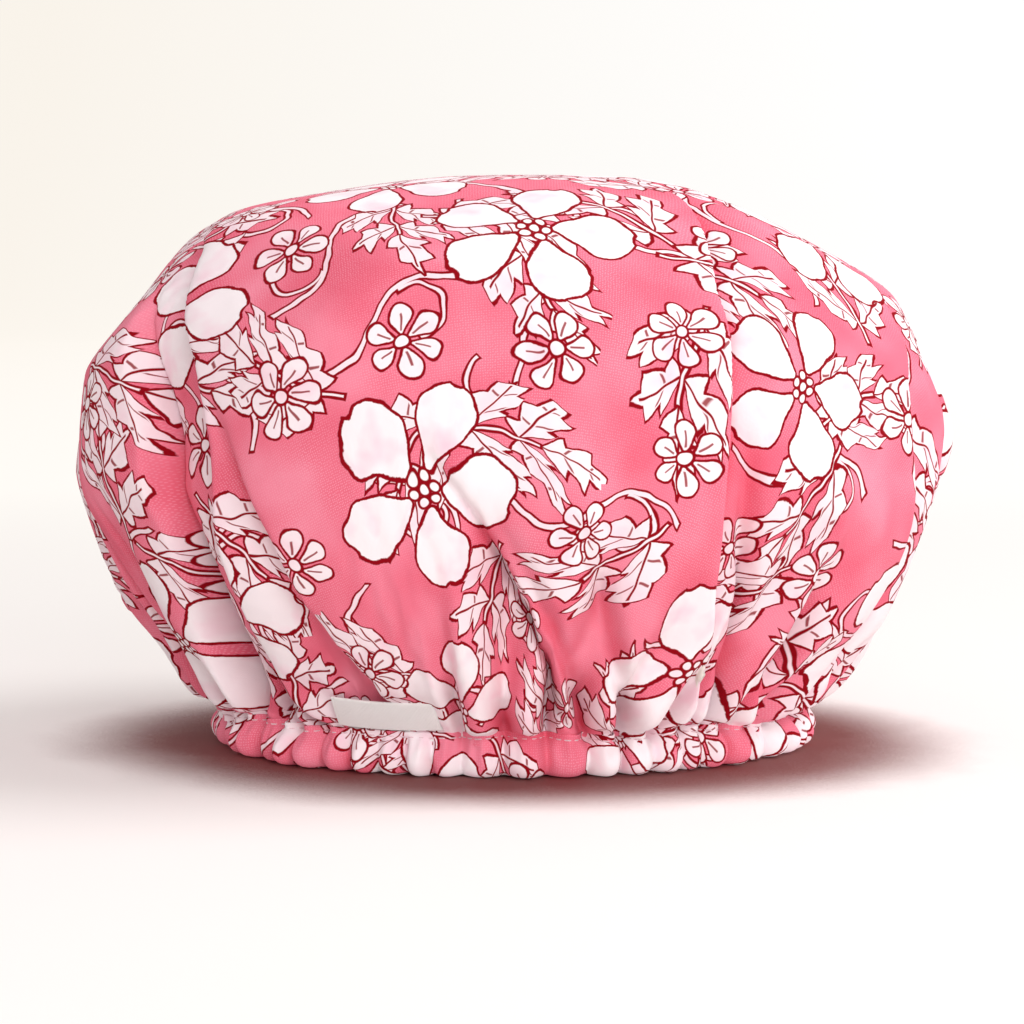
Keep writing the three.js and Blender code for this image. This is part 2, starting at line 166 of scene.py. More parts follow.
board = add_surface(tree, mixed(tree, glow, tone, colour(0, 0, 0)), 0.7)
board.inputs["Specular IOR Level"].default_value = 0.2
tree.links.new(wall, board.inputs["Emission Color"])
tree.links.new(glow, board.inputs["Emission Strength"])
table.data.materials.append(table_finish)

world = bpy.data.worlds.new("pale_room")
bpy.context.scene.world = world
world.use_nodes = True
tree = world.node_tree
tree.nodes.clear()
seen = add_node(tree, "LightPath")
either = add_node(tree, "Math", operation="MAXIMUM")
room = add_node(tree, "Background")
room.inputs["Color"].default_value = colour(255, 250, 248)
room.inputs["Strength"].default_value = 0.62
backdrop = add_node(tree, "Background")
backdrop.inputs["Color"].default_value = colour(255, 255, 254)
choose = add_node(tree, "MixShader")
out = add_node(tree, "OutputWorld")
tree.links.new(seen.outputs["Is Camera Ray"], either.inputs[0])
tree.links.new(seen.outputs["Is Glossy Ray"], either.inputs[1])
tree.links.new(either.outputs[0], choose.inputs["Fac"])
tree.links.new(room.outputs[0], choose.inputs[1])
tree.links.new(backdrop.outputs[0], choose.inputs[2])
tree.links.new(choose.outputs[0], out.inputs["Surface"])


def add_light(name, place, aim, size, watts, tint):
    data = bpy.data.lights.new(name, "AREA")
    data.shape, data.size, data.energy, data.color = "SQUARE", size, watts, tint
    lamp = bpy.data.objects.new(name, data)
    lamp.location = place
    lamp.rotation_euler = (Vector(aim) - Vector(place)).to_track_quat("-Z", "Y").to_euler()
    bpy.context.collection.objects.link(lamp)


add_light("window_right", (1.1, 0.05, 1.2), (0, 0, 0.08), 1.0, 15.5, (1, 0.985, 0.97))
add_light("window_front", (0.45, -1.85, 0.7), (0, 0, 0.07), 0.9, 16.5, (1, 0.99, 0.985))

view_height, view_distance, view_rise = 0.0707, 1.0, math.radians(4.5)
camera_data = bpy.data.cameras.new("camera")
camera_data.angle = math.radians(17.96)
camera_data.clip_start = 0.01
camera = bpy.data.objects.new("camera", camera_data)
camera.location = (0, -view_distance * math.cos(view_rise),
                   view_height + view_distance * math.sin(view_rise))
camera.rotation_euler = (math.pi / 2 - view_rise, 0, 0)
bpy.context.collection.objects.link(camera)
bpy.context.scene.camera = camera
bpy.context.scene.view_settings.view_transform = "Standard"


# printed shell
# A circle of crisp printed cotton, about 550 mm across, puffed into the dome. Its edge is
# drawn in to the elastic, so it falls in flats above and in folds and gathers below.

half_width, half_depth, crown_height, belly_height = 0.137, 0.120, 0.174, 0.088
mouth_half_width, mouth_half_depth = 0.085, 0.074
seam_height, raw_edge_height = 0.0134, 0.0092
squareness, draw_in = 2.8, 1.8
puff_count = 56

# The plain dome's outline, walked from the crown over the belly to the raw edge. Its length
# is the radius that the circle is cut to.
quarter = np.linspace(0, math.pi / 2, 300)
dome_out = np.sin(quarter) ** (2 / squareness)
dome_up = np.cos(quarter).clip(0) ** (2 / squareness)
fall = np.linspace(0, 1, 300)[1:]
kept = 1 - fall ** draw_in
line_x = np.concatenate([half_width * dome_out, mouth_half_width + (half_width - mouth_half_width) * kept,
                         [mouth_half_width]])
line_y = np.concatenate([half_depth * dome_out, mouth_half_depth + (half_depth - mouth_half_depth) * kept,
                         [mouth_half_depth]])
line_z = np.concatenate([belly_height + (crown_height - belly_height) * dome_up,
                         belly_height + (seam_height - belly_height) * fall, [raw_edge_height]])
line_run = np.append(0, np.cumsum(np.hypot(np.diff((line_x + line_y) / 2), np.diff(line_z))))
cut_radius = line_run[-1]
belly_run = np.interp(-belly_height, -line_z, line_run)
seam_run = np.interp(-seam_height, -line_z, line_run)


def cloth_disc(cells, inner):
    """A disc of quads: a rounded square grid in the middle, rings outside it."""
    points, faces, at = [], [], {}
    for i in range(cells + 1):
        for j in range(cells + 1):
            u, v = 2 * i / cells - 1, 2 * j / cells - 1
            at[i, j] = len(points)
            x, y = u * math.sqrt(1 - v * v / 2), v * math.sqrt(1 - u * u / 2)
            points.append((inner * (0.72 * x + 0.26 * u), inner * (0.72 * y + 0.26 * v)))
    for i in range(cells):
        for j in range(cells):
            faces.append((at[i, j], at[i + 1, j], at[i + 1, j + 1], at[i, j + 1]))
    ring = [at[i, 0] for i in range(cells)] + [at[cells, j] for j in range(cells)]
    ring += [at[i, cells] for i in range(cells, 0, -1)] + [at[0, j] for j in range(cells, 0, -1)]
    border = np.array([points[k] for k in ring])
    radius = np.hypot(*border.T)
    angle = np.arctan2(border[:, 1], border[:, 0])
    even = angle[0] + np.arange(len(ring)) * 2 * math.pi / len(ring)
    turn = (even - angle + math.pi) % (2 * math.pi) - math.pi
    rings = round((1 - inner) / (math.pi * (1 + inner) / len(ring)))
    for m in range(1, rings + 1):
        f = m / rings
        r = radius + (1 - radius) * f
        t = angle + turn * min(1, 1.6 * f)
        new = list(range(len(points), len(points) + len(ring)))
        points += [(p * math.cos(q), p * math.sin(q)) for p, q in zip(r, t)]
        for k in range(len(ring)):
            after = (k + 1) % len(ring)
            faces.append((ring[k], new[k], new[after], ring[after]))
        ring = new
    return np.array(points), faces


def hem_drift(angle):
    """Shifts the gathers along the hem, so that no two are alike, in radians of a wave."""
    waves = ((0.5, 3, 1.1), (0.5, 5, 4.0), (0.35, 8, 2.6), (0.22, 13, 5.2), (0.13, 21, 0.3))
    return sum(size * np.sin(k * angle + p) for size, k, p in waves)


def hem_uneven(angle):
    """How much deeper or shallower the gathers are here than on average."""
    return 1 + 0.3 * sum(0.5 * np.sin(k * angle + p) for k, p in ((4, 0.4), (7, 3.3), (11, 1.9)))


def hem_puff(angle, round_off=0.7):
    """0 in the pinch between two gathers, 1 on the crest of one."""
    return np.abs(np.sin(puff_count / 2 * angle + hem_drift(angle))) ** round_off


def degrees_off(angle, degrees):
    """How far round the cap an angle lies from a place that is given in degrees."""
    return (np.degrees(angle) - degrees + 180) % 360 - 180


label_degrees, label_seam_out, label_half_degrees = 247, 2.6, 14


def at_label(angle):
    """1 along the label's part of the seam, 0 elsewhere."""
    return np.exp(-(degrees_off(angle, label_degrees) / label_half_degrees) ** 6)


gather_depth = 9.2


def hem_wave(angle):
    """How far the seam stands out from the elastic's oval, in metres. It is flat at the label."""
    free = (hem_puff(angle) - 0.55) * gather_depth * MM * hem_uneven(angle)
    return free * (1 - at_label(angle)) + label_seam_out * MM * at_label(angle)


def hem_rise(angle):
    """How far the seam wanders up and down along the hem, in millimetres."""
    wander = 0.6 * np.sin(3 * angle + 1) + 0.45 * np.sin(7 * angle + 2) + 0.3 * np.sin(12 * angle + 0.5)
    return wander * (1 - np.exp(-(degrees_off(angle, label_degrees) / 18) ** 4))


def eased(x):
    """Turns an even rise from 0 to 1 into one that starts and ends gently."""
    return x * x * (3 - 2 * x)


def outward_at(angle):
    """The way straight out of the dome, level, at an angle round it."""
    out = np.stack([np.cos(angle) / half_width, np.sin(angle) / half_depth, np.zeros_like(angle)], -1)
    return out / np.linalg.norm(out, axis=-1, keepdims=True)


disc, shell_faces = cloth_disc(96, 0.55)
share = np.hypot(*disc.T).clip(0, 1)
angle = np.arctan2(disc[:, 1], disc[:, 0])
run = share * cut_radius
outward = outward_at(angle)
around = np.stack([-np.sin(angle), np.cos(angle), np.zeros_like(angle)], 1)

# The dome as the head of the cap puffs, fuller at its lower sides.
at_x, at_y, at_z = (np.interp(run, line_run, q) for q in (line_x, line_y, line_z))
lower = np.interp(run, [belly_run, seam_run], [0, 1])
side = np.cos(angle)
sag = np.where(side > 0, 3, 0.5) * np.abs(side) ** 1.5 + 4 * np.sin(angle) ** 2
sag = sag * MM * np.sin(math.pi * lower ** 1.35).clip(0)
shaped = np.stack([(at_x + sag) * np.cos(angle), (at_y + sag) * np.sin(angle), at_z], 1)

# The flats of crisp cloth: degrees round, degrees up, millimetres cut off the dome.
flats = [(3, 4, 3), (356, -26, 9), (352, 58, 9), (190, 60, 4), (182, 37, 9), (185, 5, 4),
         (178, -24, 4), (195, 80, 2.5), (2, 68, 8), (358, 24, 8), (0, -20, 6), (235, 42, 5),
         (262, 22, 3.5), (250, 68, 3), (290, 48, 5), (322, 40, 7),
         (318, 8, 5), (285, 5, 2.5), (225, 5, 6), (212, -25, 5), (305, -25, 4), (265, -30, 3),
         (340, 55, 4), (25, 30, 6), (50, 10, 5), (60, 50, 6), (85, 28, 5), (110, 8, 4),
         (120, 48, 6), (145, 25, 7), (150, -15, 4), (90, -20, 3), (35, -20, 4), (100, 72, 3)]
flat_softness = 1.2 * MM
dome = shaped - [0, 0, belly_height]
for degrees, rise, cut in flats:
    way = np.array([math.cos(math.radians(rise)) * math.cos(math.radians(degrees)),
                    math.cos(math.radians(rise)) * math.sin(math.radians(degrees)),
                    math.sin(math.radians(rise))])
    reach = (shaped - [0, 0, belly_height]) @ way
    over = (reach - (dome @ way).max() + cut * MM) / flat_softness
    push = flat_softness * np.log1p(np.exp(over.clip(-30, 30)))
    push *= np.interp(run, [0.4 * belly_run + 0.6 * seam_run, seam_run], [1, 0])
    shaped -= way * push[:, None]

# The long folds: points of the edge (share of the way to the hem, degrees), the side
# that is tucked under, and the fold's depth and spread in millimetres.
folds = [
    ([(0.30, 196), (0.40, 216), (0.54, 227), (0.63, 230), (0.79, 232), (1.0, 233)], -1, 21, 30),
    ([(0.44, 203), (0.54, 208), (0.62, 212), (0.73, 213), (0.85, 211), (1.0, 209)], 1, 17, 16),
    ([(0.56, 231), (0.66, 237), (0.72, 241), (0.80, 244), (0.90, 249), (1.0, 252)], -1, 15, 15),
    ([(0.66, 222), (0.78, 224), (0.90, 224), (1.0, 223)], -1, 11, 10),
    ([(0.70, 199), (0.84, 200), (1.0, 200)], -1, 10, 10),
    ([(0.60, 259), (0.69, 267), (0.79, 273), (0.88, 278), (1.0, 284)], -1, 14, 14),
    ([(0.66, 268), (0.76, 275), (0.86, 281), (1.0, 289)], -1, 10, 9),
    ([(0.68, 278), (0.79, 284), (0.89, 289), (1.0, 295)], -1, 12, 10),
    ([(0.20, 312), (0.29, 306), (0.44, 298), (0.57, 296), (0.69, 295), (0.78, 296), (0.87, 299),
      (1.0, 302)], 1, 14, 13),
    ([(0.60, 301), (0.70, 302), (0.83, 307), (1.0, 312)], -1, 11, 11),
    ([(0.70, 313), (0.82, 318), (1.0, 322)], -1, 10, 10),
    ([(0.37, 345), (0.49, 334), (0.58, 330), (0.74, 329), (0.89, 332), (1.0, 335)], 1, 12, 18),
    ([(0.66, 341), (0.82, 343), (1.0, 345)], 1, 9, 9),
    ([(0.50, 350), (0.70, 352), (1.0, 356)], -1, 4, 14),
    ([(0.62, 188), (0.80, 190), (1.0, 190)], 1, 9, 14),
    ([(0.35, 12), (0.60, 16), (1.0, 10)], 1, 11, 16),
    ([(0.50, 42), (0.75, 38), (1.0, 34)], -1, 11, 18),
    ([(0.30, 66), (0.55, 60), (1.0, 66)], 1, 11, 16),
    ([(0.55, 84), (0.80, 88), (1.0, 92)], -1, 9, 14),
    ([(0.42, 112), (0.70, 106), (1.0, 108)], 1, 11, 18),
    ([(0.28, 146), (0.50, 138), (0.75, 136), (1.0, 130)], -1, 12, 18),
    ([(0.55, 160), (0.75, 158), (1.0, 160)], 1, 10, 16),
    ([(0.45, 178), (0.65, 174), (1.0, 176)], -1, 9, 12),
]
degree_mm = (at_x + at_y) / 2 / MM * math.pi / 180
crown_shape = shaped.copy()
for edge, tucked, depth, spread in folds:
    at, degrees = np.array(edge).T
    high = degrees_off(angle, np.interp(share, at, degrees)) * degree_mm * -tucked
    strength = np.interp(share, [at[0], at[0] + 0.14, 0.93, 0.985], [0, 1, 0.9, 0])
    step = 1 / (1 + np.exp((high / 1.2).clip(-30, 30)))
    shaped -= outward * (strength * depth * MM * step * np.exp(high.clip(None, 0) / spread))[:, None]
    lip = strength * 0.45 * depth * MM * np.exp(-((high - 1.5).clip(0) / 7) ** 2)
    lip /= 1 + np.exp((-high - 0.5).clip(-30, 30))
    shaped += around * (lip * tucked)[:, None] + outward * (lip * 0.35)[:, None]

# Above the seam the gathers stand deeper, and join into half as many folds further up.
above_seam = (seam_run - run) / MM
depth_up = np.interp(above_seam, [0, 6, 14, 30, 50, 75, 100], [1, 1.8, 1.9, 1.5, 0.95, 0.4, 0])
joined = np.interp(above_seam, [14, 38], [0, 1])
wide_count, wide_depth, lobe_out, lobe_drop = 27, 13, 4.2, 4.5
wide_drift = sum(0.42 * np.sin(k * (angle + 0.4) + p) for k, p in ((3, 1.1), (5, 4.0), (8, 2.6), (13, 5.2)))
wide_fold = np.abs(np.sin(wide_count / 2 * angle + wide_drift)) ** 0.8 - 0.6
by_label = at_label(angle)
seam_wave = hem_wave(angle)
pleats = seam_wave * (1 - joined) + wide_fold * wide_depth * MM * hem_uneven(angle + 2) * joined
pleats = pleats * (1 - by_label) + seam_wave * by_label
depth_up = depth_up * (1 - by_label) + np.interp(above_seam, [0, 30], [1, 0]) * by_label

# Between two pinches the cloth hangs out over the seam as a small lobe.
hanging_out = np.interp(above_seam, [0, 5, 12, 34], [0, 1, 0.85, 0])
hanging_down = np.interp(above_seam, [0, 5, 10, 26], [0, 1, 0.9, 0])
overhang = lobe_out * MM * hem_puff(angle) * hanging_out * (1 - by_label)
shaped += outward * (pleats * depth_up + overhang)[:, None]
shaped[:, 2] -= lobe_drop * MM * hem_puff(angle) * hanging_down * (1 - by_label)
shaped[:, 2] += hem_rise(angle) * MM * np.interp(above_seam, [0, 20], [1, 0])

# The same cloth before its edge is drawn in: the crown as it is, the skirt flared wide. Each
# ring is as long round as the cloth has room for there, and drops as far as its width leaves.
ellipse = math.pi * (3 * (line_x + line_y) - np.sqrt((3 * line_x + line_y) * (line_x + 3 * line_y)))
fullness = np.interp(line_run, [0, 0.7 * belly_run, belly_run, (belly_run + seam_run) / 2, seam_run],
                     [1, 1, 1.06, 1.42, 2.15])
flare = ellipse / (2 * math.pi) * fullness
drop = np.sqrt(np.maximum(np.diff(line_run) ** 2 - np.diff(flare) ** 2, (0.02 * np.diff(line_run)) ** 2))
flare_z = crown_height - np.append(0, np.cumsum(drop))
oval = math.sqrt(half_width / half_depth)
flared = np.stack([np.interp(run, line_run, flare) * oval * np.cos(angle),
                   np.interp(run, line_run, flare) / oval * np.sin(angle),
                   np.interp(run, line_run, flare_z)], 1)
blend = eased(np.interp(run, [0.6 * belly_run, 1.02 * belly_run], [0, 1]))[:, None]
open_cloth = crown_shape * (1 - blend) + flared * blend
flat_cloth = open_cloth.copy()
unevenness = 0.15 * MM
open_cloth += np.random.default_rng(7).normal(0, unevenness, open_cloth.shape)


def piece_of(name, data):
    data.name = name
    data.polygons.foreach_set("use_smooth", [True] * len(data.polygons))
    piece = bpy.data.objects.new(name, data)
    bpy.context.collection.objects.link(piece)
    return piece


def mesh_object(name, points, faces):
    data = bpy.data.meshes.new(name)
    data.from_pydata(np.asarray(points).tolist(), [], faces)
    return piece_of(name, data)


def points_of(data):
    points = np.empty(len(data.vertices) * 3)
    data.vertices.foreach_get("co", points)
    return points.reshape(-1, 3)


pull_frames, settle_frames = 30, 10


def gather_cloth(points, target, faces, hold):
    """Draws the cloth in to the target at its pinned hem, and returns where it comes to lie."""
    piece = mesh_object("gathering", points, faces)
    piece.shape_key_add(name="open")
    drawn_in = piece.shape_key_add(name="drawn_in")
    drawn_in.data.foreach_set("co", target.ravel())
    held = piece.vertex_groups.new(name="held")
    for i, weight in enumerate(hold):
        held.add([i], float(weight), "REPLACE")
    drawn_in.value = 0
    drawn_in.keyframe_insert("value", frame=1)
    drawn_in.value = 1
    drawn_in.keyframe_insert("value", frame=pull_frames)
    cloth = piece.modifiers.new("Cloth", "CLOTH")
    cotton = cloth.settings
    cotton.quality = 4
    cotton.mass = 0.3
    cotton.tension_stiffness = cotton.compression_stiffness = 15
    cotton.shear_stiffness = 5
    cotton.bending_stiffness = 10
    cotton.vertex_group_mass = "held"
    cotton.pin_stiffness = 1
    cotton.use_pressure = True
    cotton.uniform_pressure_force = 3
    cotton.effector_weights.gravity = 0
    cloth.collision_settings.use_collision = False
    last = pull_frames + settle_frames
    cloth.point_cache.frame_start, cloth.point_cache.frame_end = 1, last
    for number in range(1, last + 1):
        bpy.context.scene.frame_set(number)
    settled = piece.evaluated_get(bpy.context.evaluated_depsgraph_get()).data
    result = points_of(settled)
    bpy.data.objects.remove(piece)
    bpy.context.scene.frame_set(1)
    return result


hold = np.interp(run, [0, 0.6 * belly_run, belly_run, seam_run - 0.05, seam_run - 0.014,
                       seam_run - 1e-6, seam_run], [0.8, 0.8, 0.75, 0.6, 0.5, 0.5, 1])

# The simulated cloth softens the shape above by half, so that the long folds keep their places.
lying, softened = shaped, 0.5
settled = gather_cloth(open_cloth, shaped, shell_faces, hold)
lying = (1 - softened) * shaped + softened * settled


label_tilt = math.radians(10)


def label_frame():
    """The label's foot, and its ways across, up and out, read from the hinge and the solid.

    The tape leans out a little less than the solid, and shows more of its face."""
    hinge = next(j for j in frame["joints"] if j["name"] == "label_flap")
    across = np.array(hinge["axis"], dtype=float)
    across /= np.linalg.norm(across)
    foot = np.array(hinge["pos_m"], dtype=float)
    solid = points_of(frame["nodes"]["label"].data) - foot
    flat_out = np.cross(across, [0, 0, 1.0])
    flat_out *= math.copysign(1, flat_out @ foot)
    middle = solid[solid[:, 2] > 0.8 * solid[:, 2].max()].mean(0)
    lean = math.atan2(middle @ flat_out, middle[2]) - label_tilt
    up = flat_out * math.sin(lean) + np.array([0, 0, math.cos(lean)])
    return foot, across, up, flat_out * math.cos(lean) - np.array([0, 0, math.sin(lean)])


# The shell lies close behind the label, which presses it in, ever less further from it.
label_foot, label_across, label_up, label_out = label_frame()
label_width, label_height, label_room = 32.0, 10.5, 0.9
press_slope, press_reach = 1.1, 40
from_foot = (lying - label_foot) / MM
beside = (np.abs(from_foot @ label_across) - label_width / 2).clip(0)
above = (from_foot @ label_up - label_height).clip(0) + (-1 - from_foot @ label_up).clip(0)
room_out = -label_room + press_slope * np.hypot(beside, above)
proud = (from_foot @ label_out - room_out).clip(0)
near_label = (np.linalg.norm(from_foot, axis=1) < press_reach) & (run < seam_run)
lying = lying - label_out * (proud * near_label * MM)[:, None]


def subdivided(points, faces):
    """The same mesh with each quad split in four and smoothed."""
    piece = mesh_object("finer", points, faces)
    finer = piece.modifiers.new("finer", "SUBSURF")
    finer.levels = finer.render_levels = 1
    data = bpy.data.meshes.new_from_object(piece.evaluated_get(bpy.context.evaluated_depsgraph_get()))
    bpy.data.objects.remove(piece)
    return data


shell_data = subdivided(lying, shell_faces)
flat_data = subdivided(flat_cloth, shell_faces)
disc_data = subdivided(np.column_stack([disc * cut_radius, np.zeros(len(disc))]), shell_faces)
shell = piece_of("printed_shell", shell_data)
shell_points, shell_flat, shell_disc = points_of(shell_data), points_of(flat_data), points_of(disc_data)

# Where the cloth turns under it is pressed into narrow creases, along the long folds and
# up from the pinches between the gathers.
fine_share = np.hypot(shell_disc[:, 0], shell_disc[:, 1]) / cut_radius
fine_angle = np.arctan2(shell_disc[:, 1], shell_disc[:, 0])
fine_degree_mm = np.hypot(shell_points[:, 0], shell_points[:, 1]) / MM * math.pi / 180
fine_up = (seam_run - fine_share * cut_radius) / MM
crease_depth, pinch_depth = 5.8, 5.2
press = np.zeros(len(shell_points))
for edge, tucked, depth, spread in folds:
    at, degrees = np.array(edge).T
    under = degrees_off(fine_angle, np.interp(fine_share, at, degrees)) * fine_degree_mm * tucked
    strength = np.interp(fine_share, [at[0], at[0] + 0.2, 0.93, 0.985], [0, 1, 1, 0]) * depth / 12
    press += strength * (crease_depth * np.exp(-((under - 2.2) / 1.9) ** 2)
                         - 1.3 * np.exp(-((under + 1.6) / 2.4) ** 2))

# A crease rises from each pinch, and every one is of its own height.
phase = puff_count / 2 * fine_angle + hem_drift(fine_angle)
seam_radius_mm = 80
from_pinch = np.abs(np.sin(phase)) * 2 * seam_radius_mm / puff_count
tall = 16 + 44 * (0.5 + 0.5 * np.sin(np.round(phase / math.pi) * 2.4)) ** 2
rising = np.interp(fine_up, [0, 3], [0, 1]) * (1 - fine_up / tall).clip(0) ** 0.7
press += pinch_depth * rising * np.exp(-(from_pinch / 1.6) ** 2)

# The cloth stays smooth behind the label.
fine_label = np.linalg.norm(shell_points - label_foot, axis=1) / MM
press *= np.interp(fine_label, [16, 26], [0, 1])
shell_points -= outward_at(fine_angle) * (press * MM)[:, None]
shell_data.vertices.foreach_set("co", shell_points.ravel())
shell_data.update()


# The print is laid out on the cloth before it is gathered. Each face knows the motif that
# it lies on, and each corner its place on that motif, in millimetres.

def corners_of(data):
    corners = np.empty(len(data.loops), dtype=int)
    data.loops.foreach_get("vertex_index", corners)
    return corners


def normals_of(data):
    normals = np.empty(len(data.vertices) * 3)
    data.vertex_normals.foreach_get("vector", normals)
    return normals.reshape(-1, 3)


throw_count = 9000


def throw_motifs(points, normals, gap, seed, clear_of=(), clearance=0.0, arm=0.0):
    """Drops motifs on the cloth at random, none nearer another than the gap: centres and ways."""
    draw = np.random.default_rng(seed)
    centres, ways, marks = [], [], np.empty((0, 3))
    for k in draw.permutation(len(points))[:throw_count]:
        c, n = points[k], normals[k]
        way = np.cross(n, draw.normal(size=3))
        way /= np.linalg.norm(way)
        own = np.array([c + way * arm * t for t in ((-1, 0, 1) if arm else (0,))])
        if len(clear_of) and np.linalg.norm(clear_of - c, axis=1).min() < clearance:
            continue
        if len(marks) and np.linalg.norm(marks[None] - own[:, None], axis=2).min() < gap:
            continue
        centres.append(c)
        ways.append((way, np.cross(n, way)))
        marks = np.vstack([marks, own])
    return np.array(centres), np.array(ways), draw.uniform(0.88, 1.12, len(centres))


def lay_print(data, flat, motifs, name, stretch):
    """Writes each face corner's place on the nearest motif as a UV map, in millimetres."""
    centres, ways, sizes = motifs
    corner = corners_of(data).reshape(-1, 4)
    middle = flat[corner].mean(1)
    best = np.full(len(middle), np.inf)
    pick = np.zeros(len(middle), dtype=int)
    for k, (c, (u, v)) in enumerate(zip(centres, ways)):
        d = middle - c
        apart = (d ** 2).sum(1) + (stretch ** 2 - 1) * (d @ v) ** 2
        near = apart < best
        best[near], pick[near] = apart[near], k
    away = flat[corner] - centres[pick][:, None]
    u = (away * ways[pick][:, None, 0]).sum(2)
    v = (away * ways[pick][:, None, 1]).sum(2)
    true = np.linalg.norm(away, axis=2) / np.maximum(np.hypot(u, v), 1e-9)
    place = np.stack([u * true, v * true], 2) / MM / sizes[pick][:, None, None]
    data.uv_layers.new(name=name).data.foreach_set("uv", place.ravel())


def lay_cloth(data, flat):
    """Writes each face corner's place on the uncut cloth as a UV map, in millimetres."""
    data.uv_layers.new(name="cloth").data.foreach_set("uv", (flat[corners_of(data), :2] / MM).ravel())


def print_on(data, flat, field, normals, seed):
    """Scatters the five motifs over the field of places, and writes their maps on the cloth.

    Gaps are from centre to centre, and an arm is half a long motif's length, in metres."""
    blossoms = throw_motifs(field, normals, 0.0615, seed)
    daisies = throw_motifs(field, normals, 0.034, seed + 1, blossoms[0], 0.038)
    fronds = throw_motifs(field, normals, 0.036, seed + 3, arm=0.014)
    sprays = throw_motifs(field, normals, 0.036, seed + 2, fronds[0], 0.03, arm=0.014)
    curls = throw_motifs(field, normals, 0.026, seed + 4, arm=0.02)
    for motifs, name, stretch in ((blossoms, "blossoms", 1), (daisies, "daisies", 1),
                                  (sprays, "sprays", 1.6), (fronds, "fronds", 1.6), (curls, "curls", 1.6)):
        lay_print(data, flat, motifs, name, stretch)


lay_cloth(shell_data, shell_disc)
print_on(shell_data, shell_flat, shell_flat, normals_of(flat_data), 11)


# The print itself: white flowers, leaves and curling stems, drawn in dark red on pink.

class Wire:
    """A value in a shader group, so that its sums can be written as sums."""

    def __init__(self, tree, socket):
        self.tree, self.socket = tree, socket

    def sum(self, operation, *others, clamp=False):
        node = add_node(self.tree, "Math", operation=operation, use_clamp=clamp)
        for slot, value in zip(node.inputs, (self, *others)):
            if isinstance(value, Wire):
                self.tree.links.new(value.socket, slot)
            else:
                slot.default_value = value
        return Wire(self.tree, node.outputs[0])

    def below(self, edge, blur):
        """1 where the value is well under the edge, 0 where it is over."""
        return (-(self - edge) / blur + 0.5).sum("ADD", 0, clamp=True)

    def __neg__(self):
        return self * -1


# The sums that a wire knows, each as one Math node.
for method, operation in {
        "__add__": "ADD", "__sub__": "SUBTRACT", "__mul__": "MULTIPLY", "__truediv__": "DIVIDE",
        "abs": "ABSOLUTE", "sin": "SINE", "cos": "COSINE", "angle_to": "ARCTAN2", "root": "SQRT",
        "least": "MINIMUM", "most": "MAXIMUM", "floor": "FLOOR", "part": "FRACT"}.items():
    setattr(Wire, method, functools.partialmethod(Wire.sum, operation))


def length(x, y):
    return (x * x + y * y).root()


def split(tree, vector):
    node = add_node(tree, "SeparateXYZ")
    tree.links.new(vector, node.inputs[0])
    return Wire(tree, node.outputs[0]), Wire(tree, node.outputs[1])


def own_map(tree, name):
    return add_node(tree, "UVMap", uv_map=name).outputs["UV"]


def noise(tree, vector, scale, detail=2.0, channel=0):
    node = add_node(tree, "TexNoise", noise_dimensions="2D")
    node.inputs["Scale"].default_value = scale
    node.inputs["Detail"].default_value = detail
    tree.links.new(vector, node.inputs["Vector"])
    return node.outputs[channel]


def new_group(name, outputs, inputs=()):
    group = bpy.data.node_groups.new(name, "ShaderNodeTree")
    for label, kind, value in inputs:
        socket = group.interface.new_socket(label, in_out="INPUT", socket_type=kind)
        socket.default_value = value
    for label, kind in outputs:
        group.interface.new_socket(label, in_out="OUTPUT", socket_type=kind)
    return group, group.nodes.new("NodeGroupInput"), group.nodes.new("NodeGroupOutput")


def petal(x, y, near, far, small, large):
    """Distance to a drop-shaped petal: two circles on the x axis and the sides between them."""
    growth = (large - small) / (far - near)
    t = (x - near + y.abs() * (growth / math.sqrt(1 - growth * growth))).most(0).least(far - near)
    return length(x - near - t, y) - (t * growth + small)


def leaf(along, across, size, width):
    """Distance to a pointed leaf that starts at 0 and is as long as its size."""
    half = size * 0.5
    wide = size * width
    bow = (half * half + wide * wide) / (wide * 2)
    return length(along - half, across.abs() + bow - wide) - bow


def around_centre(x, y, count):
    """Folds the plane into one of so many equal slices, on the x axis."""
    radius = length(x, y)
    slice_angle = 2 * math.pi / count
    turn = y.angle_to(x) / slice_angle + 0.5
    turn = (turn.part() - 0.5) * slice_angle
    return radius * turn.cos(), radius * turn.sin(), radius


line_width, line_blur = 0.44, 0.2


def drawn(shape, half_line=line_width):
    """A motif's white and its outline, from the distance to its edge."""
    return shape.below(0, line_blur), shape.abs().below(half_line, line_blur)


flower_print, _, result = new_group("flower_print", [("Color", "NodeSocketColor")])
tree = flower_print
cloth_map = own_map(tree, "cloth")
wobble = add_node(tree, "VectorMath", operation="MULTIPLY_ADD")
tree.links.new(noise(tree, cloth_map, 0.09, 1.0, 1), wobble.inputs[0])
hand_shift = 1.7
wobble.inputs[1].default_value = (2 * hand_shift, 2 * hand_shift, 0)
wobble.inputs[2].default_value = (-hand_shift, -hand_shift, 0)
rough = Wire(tree, noise(tree, cloth_map, 0.8, 1.0))


def hand_drawn(name):
    """A motif's own coordinates, shifted a little as an unsteady hand would."""
    shifted = add_node(tree, "VectorMath", operation="ADD")
    tree.links.new(own_map(tree, name), shifted.inputs[0])
    tree.links.new(wobble.outputs[0], shifted.inputs[1])
    return split(tree, shifted.outputs[0])


layers = []
edge_play = (rough - 0.5) * 0.35

